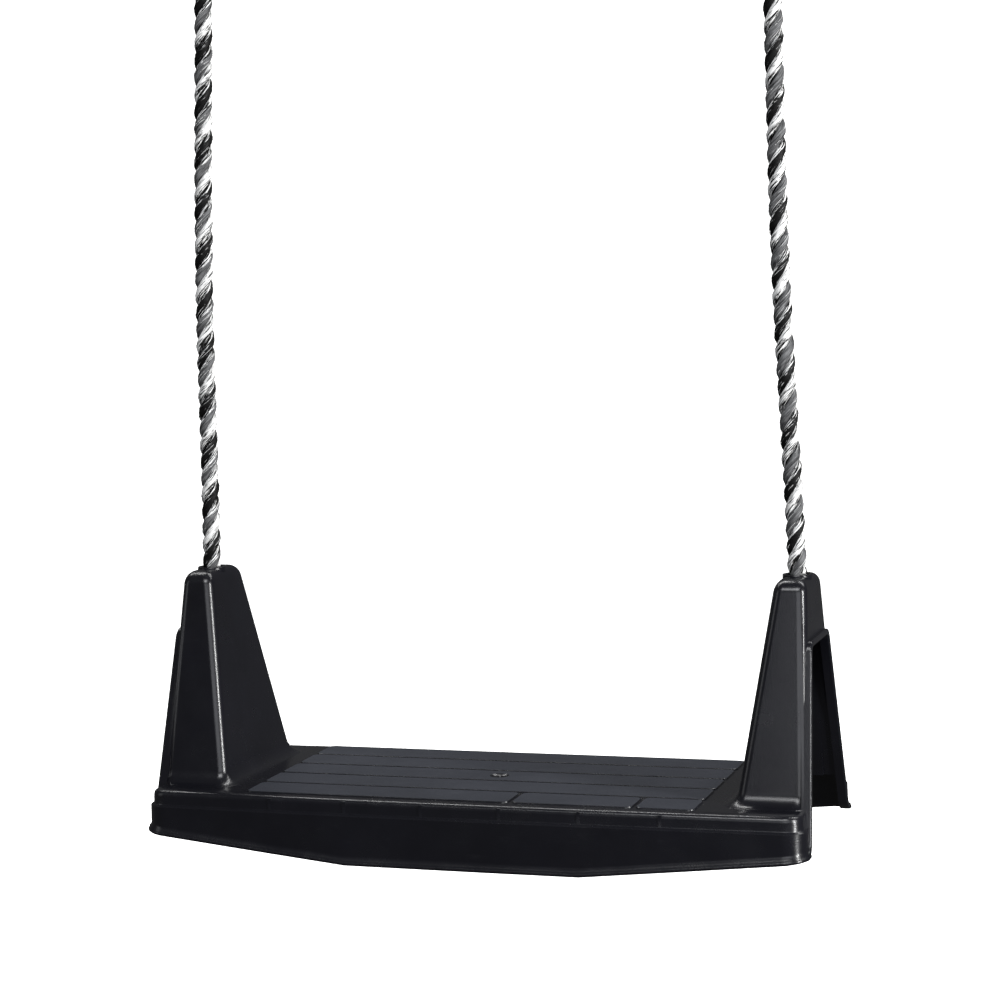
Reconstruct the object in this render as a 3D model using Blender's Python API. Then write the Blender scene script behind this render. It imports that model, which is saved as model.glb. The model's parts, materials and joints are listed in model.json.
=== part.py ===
"""Plank swing seat: a hollow moulded seat with two towers, hung on two ropes from bolted swing hangers.

X runs along the seat and the beam, -Y is the front and +Z is up. Lengths are in metres. The origin is on the
underside of the beam, midway between the two hangers.
"""

from math import cos, pi, radians, sin

import bmesh
import bpy
from mathutils import Vector

# Seat, in its own frame: X and Y from the middle, Z from the tops of the slats
HOLE_X = 0.200
HALF_LENGTH = 0.2175
HALF_DEPTH = 0.0845
BOW = 0.003
BREAK_SPACING = 0.0515
PLAN_CORNER = 0.014
SKIRT_END = 0.029
SKIRT_MIDDLE = 0.043
BEAD = 0.0022
STEP_Z = 0.0110
WALL = 0.003
DECK_THICKNESS = 0.0035
SLATS = 5
SLAT_PITCH = 0.0304
SLAT_GAP = 0.0018
SLAT_HALF_LENGTH = 0.1485
SLAT_RISE = 0.0008
DRAIN_RADIUS = 0.0025
RIB_THICKNESS = 0.0025
RIB_DEPTH = 0.016

# Towers: (inner x, outer x, half depth) at the foot and at the top
TOWER_HEIGHT = 0.135
TOWER_FOOT = (0.1700, 0.2150, 0.0570)
TOWER_TOP = (0.1900, 0.2100, 0.0255)
TOWER_CORNER = 0.0060
TOWER_ROOF = 0.0040
FOOT_RADIUS = 0.0090
SHOULDER = (0.0050, 0.0085, 0.0075)
ROPE_HOLE_RADIUS = 0.0073
COLLAR_RADIUS = 0.0094
COLLAR_HEIGHT = 0.0010

# End openings: half widths at the top and at the skirt, with the bead round the edge
OPENING_TOP = 0.094
OPENING_TOP_HALF = 0.0285
OPENING_TOP_RADIUS = 0.005
OPENING_FOOT_HALF = 0.0605
OPENING_FOOT_RADIUS = 0.012
OPENING_SLOPE = 16
OPENING_X = (0.2040, 0.2300)
LIP_X_TOP = 0.2141
LIP_X_FOOT = 0.2190
LIP_DEPTH = 0.0062
LIP_WIDTH = 0.0040
LIP_EASE = 0.0010
LIP_OVERHANG = 0.0012

# Ropes, with their pressed eyes
ROPE_RADIUS = 0.006
ROPE_VISIBLE = 0.4047
ROPE_LEAN = radians(1.5)
ROPE_BOW = 0.0025
EYE_RADIUS = 0.0245
THIMBLE_OUTER = 0.0082
THIMBLE_GROOVE = 0.0064
THIMBLE_SLACK = 0.0006
EYE_TO_FERRULE = 0.0500
EYE_LEG = 0.0063
EYE_LEG_STRAIGHT = 0.0030
EYE_LEG_PULL = 0.045
EYE_TOUCH_ANGLE = 205
FERRULE_HEIGHT = 0.032
FERRULE_HALF = (0.0140, 0.0078)
GAP = 0.0003

# Hangers, measured from the pivot bolt's axis
PIVOT_Z = -0.035
PLATE_HALF = (0.055, 0.020)
PLATE_THICKNESS = 0.005
SCREW_HOLE_X = 0.040
SCREW_HOLE_RADIUS = 0.0045
CHEEK_X = (0.0066, 0.0106)
CHEEK_RADIUS = 0.0135
BOLT_RADIUS = 0.005
BOLT_HOLE_RADIUS = 0.0053
BUSHING_RADIUS = 0.0080
BUSHING_FLANGE = (0.0120, 0.0048, 0.0063)
HOOK_HALF_THICKNESS = 0.0045
HOOK_EYE_RADIUS = 0.0165
HOOK_EYE_HOLE = 0.0083
BOWL_Z = -0.060
BOWL_RADIUS = 0.0165
GATE_PIVOT = (0.0180, -0.0240)
GATE_PIN_RADIUS = 0.0018
GATE_Y = (0.0135, 0.0208)
GATE_END_Z = -0.0547
GATE_TOP = 0.0052
GATE_SLOT_Z = -0.0115
GATE_SHEET = 0.0015
GATE_CHEEK_X = (0.0023, 0.0038)
LUG_HALF_THICKNESS = 0.0020
LUG_RADIUS = 0.0050
GATE_PIN_HALF = 0.0046
HEX_ACROSS = 0.016
BOLT_HEAD = 0.0064
BOLT_END_X = 0.0222
NUT_X = (0.0109, 0.0189)
CUT_REACH = 0.02

BOWL_CONTACT_Z = PIVOT_Z + BOWL_Z - BOWL_RADIUS + HOOK_HALF_THICKNESS
EYE_CENTRE = THIMBLE_OUTER - EYE_RADIUS + THIMBLE_SLACK
FERRULE_TOP = EYE_CENTRE - EYE_TO_FERRULE
FERRULE_BOTTOM = FERRULE_TOP - FERRULE_HEIGHT
ROPE_END = FERRULE_BOTTOM - GAP - ROPE_VISIBLE
TOWER_TOP_Z = BOWL_CONTACT_Z + ROPE_END * cos(ROPE_LEAN)
HANGER_X = HOLE_X + ROPE_END * sin(ROPE_LEAN)
SIDES = {"left": -1, "right": 1}


def clear_scene():
    for obj in list(bpy.data.objects):
        bpy.data.objects.remove(obj, do_unlink=True)


def surface(name, colour, roughness, metallic=0.0):
    material = bpy.data.materials.new(name)
    material.use_nodes = True
    shader = material.node_tree.nodes["Principled BSDF"]
    shader.inputs["Base Color"].default_value = (*colour, 1.0)
    shader.inputs["Roughness"].default_value = roughness
    shader.inputs["Metallic"].default_value = metallic
    return material


def finish_object(name, bm, material, parent=None, location=(0, 0, 0), smooth=True):
    bmesh.ops.recalc_face_normals(bm, faces=bm.faces)
    mesh = bpy.data.meshes.new(name)
    bm.to_mesh(mesh)
    bm.free()
    if smooth:
        mesh.shade_smooth()
        mesh.set_sharp_from_angle(angle=radians(32))
    mesh.materials.append(material)
    obj = bpy.data.objects.new(name, mesh)
    bpy.context.scene.collection.objects.link(obj)
    obj.parent = parent
    obj.location = location
    return obj


def empty(name, location, parent=None, tilt=0.0):
    obj = bpy.data.objects.new(name, None)
    bpy.context.scene.collection.objects.link(obj)
    obj.parent = parent
    obj.location = location
    obj.rotation_euler = (0, tilt, 0)
    return obj


def boolean(target, other, operation):
    modifier = target.modifiers.new(other.name, "BOOLEAN")
    modifier.operation = operation
    modifier.object = other
    modifier.solver = "EXACT"
    other.hide_render = True
    other.display_type = "WIRE"


def loft(rings):
    """A closed solid through rings of equal point counts, with a flat face on each end."""
    bm = bmesh.new()
    loops = [[bm.verts.new(point) for point in ring] for ring in rings]
    count = len(rings[0])
    for low, high in zip(loops, loops[1:]):
        for i in range(count):
            j = (i + 1) % count
            bm.faces.new((low[i], low[j], high[j], high[i]))
    bm.faces.new(loops[0])
    bm.faces.new(loops[-1])
    return bm


def prism(outline, low, high, place):
    """An outline pushed from low to high along the axis that place puts last."""
    return loft([[place(a, b, level) for a, b in outline] for level in (low, high)])


def along_x(a, b, level):
    return (level, a, b)


def along_z(a, b, level):
    return (a, b, level)


def arc(centre, radius, start, end, steps):
    """Points on a circle, angles in degrees."""
    angles = [radians(start + (end - start) * i / steps) for i in range(steps + 1)]
    return [(centre[0] + radius * cos(a), centre[1] + radius * sin(a)) for a in angles]


def circle(centre, radius, steps):
    return arc(centre, radius, 0, 360, steps)[:-1]


def rounded_rectangle(x_low, x_high, half_y, radius, steps=4):
    corners = [(x_high, 1, 0), (x_low, 1, 90), (x_low, -1, 180), (x_high, -1, 270)]
    points = []
    for x, side, start in corners:
        centre_x = x - radius if x == x_high else x + radius
        points += arc((centre_x, side * (half_y - radius)), radius, start, start + 90, steps)
    return points


# Seat shell


def break_positions():
    """The x of each upright fold in the skirts, with the two ends of the straight part."""
    folds = [BREAK_SPACING * (i + 0.5) for i in range(3)] + [HALF_LENGTH - PLAN_CORNER]
    return [-x for x in reversed(folds)] + folds


def side_y(x):
    """Half the seat's depth at x: the long sides bow out a little towards the middle."""
    return HALF_DEPTH + BOW * (0.5 - (x / (HALF_LENGTH - PLAN_CORNER)) ** 2)


def plan_outline(offset):
    """The seat's plan: bowed long sides in flat facets, with rounded corners."""
    folds = break_positions()
    side = [(x, side_y(x) + offset) for x in folds]
    radius = PLAN_CORNER + offset
    centre_y = side[-1][1] - radius
    corner = arc((folds[-1], centre_y), radius, 80, 0, 4)
    half = side + corner
    half += [(x, -y) for x, y in reversed(half)]
    left = [(-x, y) for x, y in arc((folds[-1], centre_y), radius, 80, 0, 4)]
    return half + [(x, -y) for x, y in left] + list(reversed(left))


def skirt_bottom(x):
    """Level in the middle, and rising in a straight line to each end."""
    flat = BREAK_SPACING * 1.5
    share = min(max((abs(x) - flat) / (HALF_LENGTH - flat), 0), 1)
    return -SKIRT_MIDDLE + (SKIRT_MIDDLE - SKIRT_END) * share


def deck_body():
    """Down the outside from the flat top, round the bottom bead and up the inside to the deck's underside."""
    border = [(-SLAT_RISE, -0.0100), (-0.0014, -0.0052), (-0.0027, -0.0031), (-0.0050, -0.0024)]
    step = [(-STEP_Z + 0.0010, -0.0022), (-STEP_Z, -0.0004)]
    rings = []
    for z, offset in border + step:
        rings.append([(x, y, z) for x, y in plan_outline(offset)])
    for lift, offset in ((0.0048, 0), (0.0030, BEAD), (0, BEAD), (0, -WALL)):
        rings.append([(x, y, skirt_bottom(x) + lift) for x, y in plan_outline(offset)])
    for z, offset in ((-STEP_Z - 0.003, -WALL), (-DECK_THICKNESS, -WALL - 0.0030)):
        rings.append([(x, y, z) for x, y in plan_outline(offset)])
    return loft(rings)


def tower_ring(z, grow=0.0, narrow=(0.0, 0.0), inset=0.0):
    """A level section of the right tower.

    It grows on three sides and stays put on its outer face. It narrows by (x, y) on all four sides, and
    an inset gives the inside of its walls.
    """
    share = min(max(z / TOWER_HEIGHT, 0), 1)
    inner, outer, half = (a + (b - a) * share for a, b in zip(TOWER_FOOT, TOWER_TOP))
    radius = TOWER_CORNER + grow - inset - 0.4 * max(narrow)
    x_low = inner - grow + inset + narrow[0]
    x_high = outer - inset - narrow[0]
    outline = rounded_rectangle(x_low, x_high, half + grow - inset - narrow[1], radius)
    return [(x, y, z) for x, y in outline]


def tower_body():
    """A tapered tower with a swept foot and rounded shoulders."""
    rings = [tower_ring(-0.0020, FOOT_RADIUS * 1.05)]
    for angle in (14, 34, 58, 90):
        lift, grow = 1 - cos(radians(angle)), 1 - sin(radians(angle))
        rings.append(tower_ring(-SLAT_RISE + FOOT_RADIUS * lift, FOOT_RADIUS * grow))
    wide, deep, tall = SHOULDER
    for angle in (0, 25, 50, 72, 90):
        drop, pull = 1 - sin(radians(angle)), 1 - cos(radians(angle))
        rings.append(tower_ring(TOWER_HEIGHT - tall * drop, narrow=(wide * pull, deep * pull)))
    return loft(rings)


def tower_hollow():
    return loft([tower_ring(z, inset=WALL) for z in (-0.0150, 0.0, TOWER_HEIGHT - TOWER_ROOF)])


def opening_side(grow):
    """Half of the opening's edge as (y, z), from the skirt's bottom round its corner up to the top."""
    foot_centre = (OPENING_FOOT_HALF + OPENING_FOOT_RADIUS, -SKIRT_END + OPENING_FOOT_RADIUS)
    top_centre = (OPENING_TOP_HALF - OPENING_TOP_RADIUS, OPENING_TOP - OPENING_TOP_RADIUS)
    foot = arc(foot_centre, OPENING_FOOT_RADIUS - grow, 270, 180 + OPENING_SLOPE, 5)
    return foot + arc(top_centre, OPENING_TOP_RADIUS + grow, OPENING_SLOPE, 90, 4)


def arch(grow):
    side = opening_side(grow)
    return side + [(-y, z) for y, z in reversed(side)]


def opening_body():
    """The cut through the end, open below the skirt."""
    line = arch(LIP_OVERHANG)
    below = -SKIRT_MIDDLE - 0.010
    outline = [(line[0][0], below)] + line + [(line[-1][0], below)]
    return prism(outline, *OPENING_X, along_x)


def lip_x(z):
    """The outer face of the bead round the opening, which leans in with the tower."""
    share = min(max((z + SKIRT_END) / (OPENING_TOP + SKIRT_END), 0), 1)
    return LIP_X_FOOT + (LIP_X_TOP - LIP_X_FOOT) * share


def lip_body():
    """The bead round the opening, which carries on from the bead along the skirts' bottom edge."""
    ease = LIP_EASE
    section = [(0.0, LIP_DEPTH), (0.0, ease), (ease, 0.0), (LIP_WIDTH - ease, 0.0)]
    section += [(LIP_WIDTH, ease), (LIP_WIDTH, LIP_DEPTH)]
    bm = bmesh.new()
    loops = []
    for grow, depth in section:
        loops.append([bm.verts.new((lip_x(z) - depth, y, z)) for y, z in arch(grow)])
    for near, far in zip(loops, loops[1:] + loops[:1]):
        for i in range(len(near) - 1):
            bm.faces.new((near[i], near[i + 1], far[i + 1], far[i]))
    for end in (0, -1):
        bm.faces.new([line[end] for line in loops])
    return bm


def slat_body(row):
    y = (row - (SLATS - 1) / 2) * SLAT_PITCH
    half = (SLAT_PITCH - SLAT_GAP) / 2
    outline = rounded_rectangle(-SLAT_HALF_LENGTH, SLAT_HALF_LENGTH, half, 0.004, 2)
    return prism([(a, b + y) for a, b in outline], -DECK_THICKNESS + 0.001, 0.0, along_z)


def rib_body(x):
    half = side_y(x) - WALL + 0.001
    outline = [(x - RIB_THICKNESS / 2, -half), (x + RIB_THICKNESS / 2, -half)]
    outline += [(x + RIB_THICKNESS / 2, half), (x - RIB_THICKNESS / 2, half)]
    return prism(outline, -RIB_DEPTH - DECK_THICKNESS, -DECK_THICKNESS + 0.001, along_z)


def mirrored(bm, side):
    if side < 0:
        bmesh.ops.scale(bm, vec=(-1, 1, 1), verts=bm.verts)
        bmesh.ops.reverse_faces(bm, faces=bm.faces)
    return bm


def build_seat(material, axis):
    place = {"parent": axis, "location": (0, 0, -TOWER_HEIGHT)}
    shell = finish_object("seat_shell", deck_body(), material, **place)
    collar_outline = circle((HOLE_X, 0), COLLAR_RADIUS, 24)
    for side_name, side in SIDES.items():
        collar_bm = prism(collar_outline, TOWER_HEIGHT - 0.002, TOWER_HEIGHT + COLLAR_HEIGHT, along_z)
        for guide_name, bm in (("tower", tower_body()), ("collar", collar_bm)):
            guide = finish_object(f"guide_{side_name}_{guide_name}", mirrored(bm, side), material, **place)
            boolean(shell, guide, "UNION")
    for row in range(SLATS):
        slat = finish_object(f"guide_slat_{row + 1}", slat_body(row), material, **place)
        boolean(shell, slat, "UNION")
    for side_name, side in SIDES.items():
        cuts = {
            "tower_hollow": tower_hollow(),
            "end_opening": opening_body(),
            "rope_hole": prism(circle((HOLE_X, 0), ROPE_HOLE_RADIUS, 20), 0.120, 0.150, along_z),
        }
        for cut_name, bm in cuts.items():
            cut = finish_object(f"cut_{side_name}_{cut_name}", mirrored(bm, side), material, **place)
            boolean(shell, cut, "DIFFERENCE")
        lip = finish_object(f"guide_{side_name}_lip", mirrored(lip_body(), side), material, **place)
        boolean(shell, lip, "UNION")
    for i, x in enumerate(break_positions()[1:-1]):
        rib = finish_object(f"guide_rib_{i + 1}", rib_body(x), material, **place)
        boolean(shell, rib, "UNION")
    drain_bm = prism(circle((0, 0), DRAIN_RADIUS, 12), -0.020, 0.010, along_z)
    drain = finish_object("cut_drain", drain_bm, material, **place)
    boolean(shell, drain, "DIFFERENCE")


# Ropes


def tube(name, points, radius, material, parent):
    """A plain round tube on an open run of points, with filled ends."""
    curve = bpy.data.curves.new(name, "CURVE")
    curve.dimensions = "3D"
    curve.bevel_depth = radius
    curve.bevel_resolution = 3
    curve.use_fill_caps = True
    spline = curve.splines.new("POLY")
    spline.points.add(len(points) - 1)
    for target, point in zip(spline.points, points):
        target.co = (*point, 1.0)
    spline.use_smooth = True
    curve.materials.append(material)
    obj = bpy.data.objects.new(name, curve)
    bpy.context.scene.collection.objects.link(obj)
    obj.parent = parent
    return obj


def rope_route():
    """Down from the ferrule to the tower top, with the slack rope's gentle bow."""
    count = 15
    top = FERRULE_BOTTOM - GAP
    shares = [i / (count - 1) for i in range(count)]
    return [(-ROPE_BOW * sin(pi * s) ** 2, 0, top + (ROPE_END - top) * s) for s in shares]


def eye_route():
    """Up one leg, round the thimble and down the other, on one smooth line."""
    foot = (-EYE_LEG, FERRULE_TOP + GAP)
    start = Vector(foot) + Vector((0, EYE_LEG_STRAIGHT))
    turn = arc((0, EYE_CENTRE), EYE_RADIUS, EYE_TOUCH_ANGLE, 180 - EYE_TOUCH_ANGLE, 14)
    touch = Vector(turn[0])
    slope = radians(EYE_TOUCH_ANGLE)
    heading = Vector((sin(slope), -cos(slope)))
    leg = [foot]
    for i in range(5):
        s = i / 5
        a = (2 * s**3 - 3 * s**2 + 1) * start + (s**3 - 2 * s**2 + s) * Vector((0, EYE_LEG_PULL))
        b = (-2 * s**3 + 3 * s**2) * touch + (s**3 - s**2) * (heading * EYE_LEG_PULL)
        leg.append(tuple(a + b))
    half = leg + turn[: len(turn) // 2 + 1]
    whole = half + [(-x, z) for x, z in reversed(half[:-1])]
    return [(x, 0, z) for x, z in whole]


def skin_ring(bm, loops):
    """Joins closed loops of equal point counts into one closed ring."""
    for near, far in zip(loops, loops[1:] + loops[:1]):
        for j in range(len(near)):
            k = (j + 1) % len(near)
            bm.faces.new((near[j], near[k], far[k], far[j]))


def turned(profile, steps, centre):
    """A closed ring: the profile of (radius, y) points turned about the Y axis through centre."""
    bm = bmesh.new()
    loops = []
    for i in range(steps):
        angle = 2 * pi * i / steps
        ring = [(centre[0] + r * cos(angle), centre[1] + y, centre[2] + r * sin(angle)) for r, y in profile]
        loops.append([bm.verts.new(point) for point in ring])
    skin_ring(bm, loops)
    return bm


def thimble_body():
    """A half pipe bent round the eye, with the rope in its groove."""
    outside = arc((0, 0), THIMBLE_OUTER, -78, 78, 8)
    groove = arc((0, 0), THIMBLE_GROOVE, 72, -72, 6)
    profile = [(EYE_RADIUS - a, b) for a, b in outside + groove]
    return turned(profile, 28, (0, 0, EYE_CENTRE))


def ferrule_body():
    wide, deep = FERRULE_HALF
    rings = []
    for share, shrink in ((0, 0.0018), (0.06, 0), (0.94, 0), (1, 0.0018)):
        z = FERRULE_BOTTOM + FERRULE_HEIGHT * share
        half = deep - shrink
        outline = rounded_rectangle(-wide + shrink, wide - shrink, half, half * 0.98, 5)
        rings.append([(x, y, z) for x, y in outline])
    return loft(rings)


def knot_body():
    """The stopper knot under the tower's roof: a neck, the drawn-up knot and a short tail.

    Each section is (z, half x, half y, shift towards the seat's middle).
    """
    neck = [(-0.0022, 0.0057, 0.0057, 0.0), (-0.0100, 0.0057, 0.0057, 0.0)]
    body = [(-0.0125, 0.0060, 0.0082, 0.0006), (-0.0165, 0.0068, 0.0120, 0.0012)]
    body += [(-0.0220, 0.0078, 0.0150, 0.0017), (-0.0280, 0.0083, 0.0155, 0.0018)]
    body += [(-0.0340, 0.0081, 0.0140, 0.0018), (-0.0390, 0.0070, 0.0100, 0.0018)]
    tail = [(-0.0415, 0.0058, 0.0060, 0.0018), (-0.0465, 0.0057, 0.0057, 0.0018)]
    rings = []
    for z, half_x, half_y, shift in neck + body + tail:
        angles = [2 * pi * i / 16 for i in range(16)]
        rings.append([(half_x * cos(a) - shift, half_y * sin(a), z) for a in angles])
    return loft(rings)


# Hangers


def bar(centre_line, radius, sides=10):
    """A round bar along a line of (y, z) points."""
    points = [Vector(point) for point in centre_line]
    rings = []
    for i, point in enumerate(points):
        ahead = points[min(i + 1, len(points) - 1)] - points[max(i - 1, 0)]
        across = ahead.normalized().orthogonal() * radius
        ring = []
        for j in range(sides):
            angle = 2 * pi * (j + 0.5) / sides
            y, z = point + across * cos(angle)
            ring.append((radius * sin(angle), y, z))
        rings.append(ring)
    return loft(rings)


def slab(outline, low, high):
    return prism(outline, low, high, along_x)


def hook_line():
    """From the nose, round the bowl and up the back to the eye, as (y, z) from the pivot."""
    centre = (0, BOWL_Z)
    line = arc(centre, BOWL_RADIUS, 13, -180, 14)
    line += [(-BOWL_RADIUS, BOWL_Z + 0.012), (-BOWL_RADIUS, BOWL_Z + 0.024)]
    line += [(-0.0155, -0.0290), (-0.0120, -0.0215), (-0.0080, -0.0150), (-0.0060, -0.0110)]
    return line


def build_hook(side_name, material, axis):
    thick = HOOK_HALF_THICKNESS
    hook = finish_object(f"{side_name}_hook", bar(hook_line(), thick), material, axis)
    eye = slab(circle((0, 0), HOOK_EYE_RADIUS, 28), -thick, thick)
    boolean(hook, finish_object(f"guide_{side_name}_hook_eye", eye, material, axis), "UNION")
    y, z = GATE_PIVOT
    lug_outline = arc((y, z), LUG_RADIUS, -143, 53, 8) + [(0.006, 0.002), (-0.006, -0.008)]
    lug = slab(lug_outline, -LUG_HALF_THICKNESS, LUG_HALF_THICKNESS)
    boolean(hook, finish_object(f"guide_{side_name}_hook_lug", lug, material, axis), "UNION")
    hole = slab(circle((0, 0), HOOK_EYE_HOLE, 24), -CUT_REACH, CUT_REACH)
    boolean(hook, finish_object(f"cut_{side_name}_hook_eye", hole, material, axis), "DIFFERENCE")
    pin_hole = slab(circle(GATE_PIVOT, GATE_PIN_RADIUS + GAP, 12), -CUT_REACH, CUT_REACH)
    boolean(hook, finish_object(f"cut_{side_name}_hook_pin", pin_hole, material, axis), "DIFFERENCE")


def build_gate(side_name, material, hinge):
    """The pressed gate: a folded channel whose two cheeks straddle the hook's lug."""
    y, z = GATE_PIVOT
    bottom = GATE_END_Z - z
    low, high = GATE_Y[0] - y, GATE_Y[1] - y
    bevel = 0.002
    outline = [(low, bottom), (high, bottom), (high, GATE_TOP - bevel), (high - bevel, GATE_TOP)]
    outline += [(low + bevel, GATE_TOP), (low, GATE_TOP - bevel)]
    space, outer = GATE_CHEEK_X
    gate = finish_object(f"{side_name}_gate", slab(outline, -outer, outer), material, hinge)
    clear = 0.01
    slot = [(low - clear, GATE_SLOT_Z), (high + clear, GATE_SLOT_Z)]
    slot += [(high + clear, clear), (low - clear, clear)]
    back = high - GATE_SHEET
    channel = [(low - clear, bottom - clear), (back, bottom - clear), (back, 0.0), (low - clear, 0.0)]
    cuts = {
        "slot": slab(slot, -space, space),
        "channel": slab(channel, -space, space),
        "pin": slab(circle((0, 0), GATE_PIN_RADIUS + GAP, 12), -CUT_REACH, CUT_REACH),
    }
    for cut_name, bm in cuts.items():
        cut = finish_object(f"cut_{side_name}_gate_{cut_name}", bm, material, hinge)
        boolean(gate, cut, "DIFFERENCE")


def build_bracket(side_name, material, base):
    """A screwed plate with two cheeks hanging down to the pivot bolt."""
    half_x, half_y = PLATE_HALF
    plate_outline = rounded_rectangle(-half_x, half_x, half_y, 0.008, 4)
    plate = prism(plate_outline, -PLATE_THICKNESS, 0, along_z)
    bracket = finish_object(f"{side_name}_bracket", plate, material, base)
    top = -PLATE_THICKNESS * 0.6
    root = half_y - 0.001
    cheek = [(root, top)] + arc((0, PIVOT_Z), CHEEK_RADIUS, 12, -192, 12) + [(-root, top)]
    for i, side in enumerate((-1, 1)):
        low, high = sorted(side * x for x in CHEEK_X)
        guide_name = f"guide_{side_name}_cheek_{i + 1}"
        boolean(bracket, finish_object(guide_name, slab(cheek, low, high), material, base), "UNION")
        screw_outline = circle((side * SCREW_HOLE_X, 0), SCREW_HOLE_RADIUS, 16)
        hole = prism(screw_outline, -CUT_REACH, CUT_REACH, along_z)
        boolean(bracket, finish_object(f"cut_{side_name}_screw_{i + 1}", hole, material, base), "DIFFERENCE")
    bore = slab(circle((0, PIVOT_Z), BOLT_HOLE_RADIUS, 16), -CUT_REACH, CUT_REACH)
    boolean(bracket, finish_object(f"cut_{side_name}_bolt_bore", bore, material, base), "DIFFERENCE")


def axle(stations, steps=18):
    """A turned piece about the X axis, from (x, radius) stations."""
    rings = []
    for x, r in stations:
        rings.append([(x, r * cos(2 * pi * i / steps), r * sin(2 * pi * i / steps)) for i in range(steps)])
    return loft(rings)


def bored_bushing(side):
    """One half of the flanged bushing, with its bore for the bolt."""
    flange, inner, outer = BUSHING_FLANGE
    middle = GAP / 2
    profile = [(middle, BUSHING_RADIUS), (inner, BUSHING_RADIUS), (inner, flange), (outer, flange)]
    profile += [(outer, BOLT_HOLE_RADIUS), (middle, BOLT_HOLE_RADIUS)]
    bm = bmesh.new()
    loops = []
    for y, z in circle((0, 0), 1.0, 20):
        loops.append([bm.verts.new((side * x, r * y, r * z)) for x, r in profile])
    skin_ring(bm, loops)
    return bm


def hexagon(low, high):
    return slab(circle((0, 0), HEX_ACROSS / 2 / cos(pi / 6), 6), low, high)


def bolt_shank():
    start, end, bevel = -CHEEK_X[1] - 0.003, BOLT_END_X, 0.0007
    return axle([(start, BOLT_RADIUS), (end - bevel, BOLT_RADIUS), (end, BOLT_RADIUS - bevel)])


def build_hanger(side_name, side, materials):
    base = empty(f"{side_name}_hanger_place", (side * HANGER_X, 0, 0))
    pivot = empty(f"{side_name}_pivot_axis", (0, 0, PIVOT_Z), base)
    build_bracket(side_name, materials["zinc"], base)
    under_head = -CHEEK_X[1] - GAP
    head = hexagon(under_head - BOLT_HEAD, under_head)
    bolt = finish_object(f"{side_name}_pivot_bolt", head, materials["steel"], pivot)
    shank = finish_object(f"guide_{side_name}_bolt_shank", bolt_shank(), materials["steel"], pivot)
    boolean(bolt, shank, "UNION")
    nut = finish_object(f"{side_name}_pivot_nut", hexagon(*NUT_X), materials["steel"], pivot)
    bore = axle([(0.0, BOLT_HOLE_RADIUS), (CUT_REACH, BOLT_HOLE_RADIUS)])
    boolean(nut, finish_object(f"cut_{side_name}_nut_bore", bore, materials["steel"], pivot), "DIFFERENCE")
    for half_name, half in (("inner", -side), ("outer", side)):
        finish_object(f"{side_name}_bushing_{half_name}", bored_bushing(half), materials["nylon"], pivot)
    build_hook(side_name, materials["zinc"], pivot)
    hinge = empty(f"{side_name}_gate_axis", (0, *GATE_PIVOT), pivot)
    build_gate(side_name, materials["steel"], hinge)
    pin = axle([(-GATE_PIN_HALF, GATE_PIN_RADIUS), (GATE_PIN_HALF, GATE_PIN_RADIUS)], 12)
    finish_object(f"{side_name}_gate_pin", pin, materials["steel"], hinge)


def build_rope(side_name, side, materials):
    """The rope hangs from the hook's bowl and leans a little, its eye and ferrule in line with it."""
    place = (side * HANGER_X, 0, BOWL_CONTACT_Z)
    axis = empty(f"{side_name}_rope_axis", place, tilt=-side * ROPE_LEAN)
    tube(f"{side_name}_rope", rope_route(), ROPE_RADIUS, materials["rope"], axis)
    tube(f"{side_name}_rope_eye", eye_route(), ROPE_RADIUS, materials["rope"], axis)
    finish_object(f"{side_name}_thimble", thimble_body(), materials["zinc"], axis)
    finish_object(f"{side_name}_ferrule", ferrule_body(), materials["alloy"], axis)
    hole = (side * HOLE_X, 0, TOWER_TOP_Z)
    finish_object(f"{side_name}_knot", mirrored(knot_body(), side), materials["rope"], location=hole)


def main():
    clear_scene()
    seat_plastic = surface("seat_plastic", (0.012, 0.012, 0.015), 0.42)
    materials = {
        "rope": surface("rope_fibre", (0.22, 0.22, 0.22), 0.8),
        "zinc": surface("zinc_plate", (0.55, 0.56, 0.58), 0.38, 1.0),
        "steel": surface("bright_steel", (0.62, 0.62, 0.63), 0.30, 1.0),
        "alloy": surface("pressed_alloy", (0.70, 0.71, 0.72), 0.35, 1.0),
        "nylon": surface("nylon_bushing", (0.75, 0.74, 0.70), 0.5),
    }
    seat_axis = empty("seat_tilt_axis", (0, 0, TOWER_TOP_Z))
    build_seat(seat_plastic, seat_axis)
    for side_name, side in SIDES.items():
        build_hanger(side_name, side, materials)
        build_rope(side_name, side, materials)


main()
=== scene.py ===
"""Looks for the plank swing seat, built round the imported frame. Metres, +Z up, -Y is the front."""

import json
import random
from math import cos, pi, radians, sin

import bmesh
import bpy
import numpy as np
from mathutils import Matrix, Vector, noise


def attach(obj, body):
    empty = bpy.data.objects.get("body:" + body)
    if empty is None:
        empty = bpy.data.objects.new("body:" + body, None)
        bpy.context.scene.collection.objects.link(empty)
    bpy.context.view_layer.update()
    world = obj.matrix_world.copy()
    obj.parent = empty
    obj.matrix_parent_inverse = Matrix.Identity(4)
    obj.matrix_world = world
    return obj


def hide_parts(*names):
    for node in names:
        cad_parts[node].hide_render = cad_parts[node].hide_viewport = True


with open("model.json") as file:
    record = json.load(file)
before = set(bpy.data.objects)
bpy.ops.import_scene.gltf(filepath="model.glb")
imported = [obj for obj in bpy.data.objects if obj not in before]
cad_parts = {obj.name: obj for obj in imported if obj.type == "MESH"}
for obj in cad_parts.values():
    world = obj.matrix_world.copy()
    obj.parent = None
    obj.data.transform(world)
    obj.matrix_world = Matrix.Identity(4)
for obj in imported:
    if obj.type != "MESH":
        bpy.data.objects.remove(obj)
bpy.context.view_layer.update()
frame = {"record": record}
SIDES = {"left": -1, "right": 1}


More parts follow.
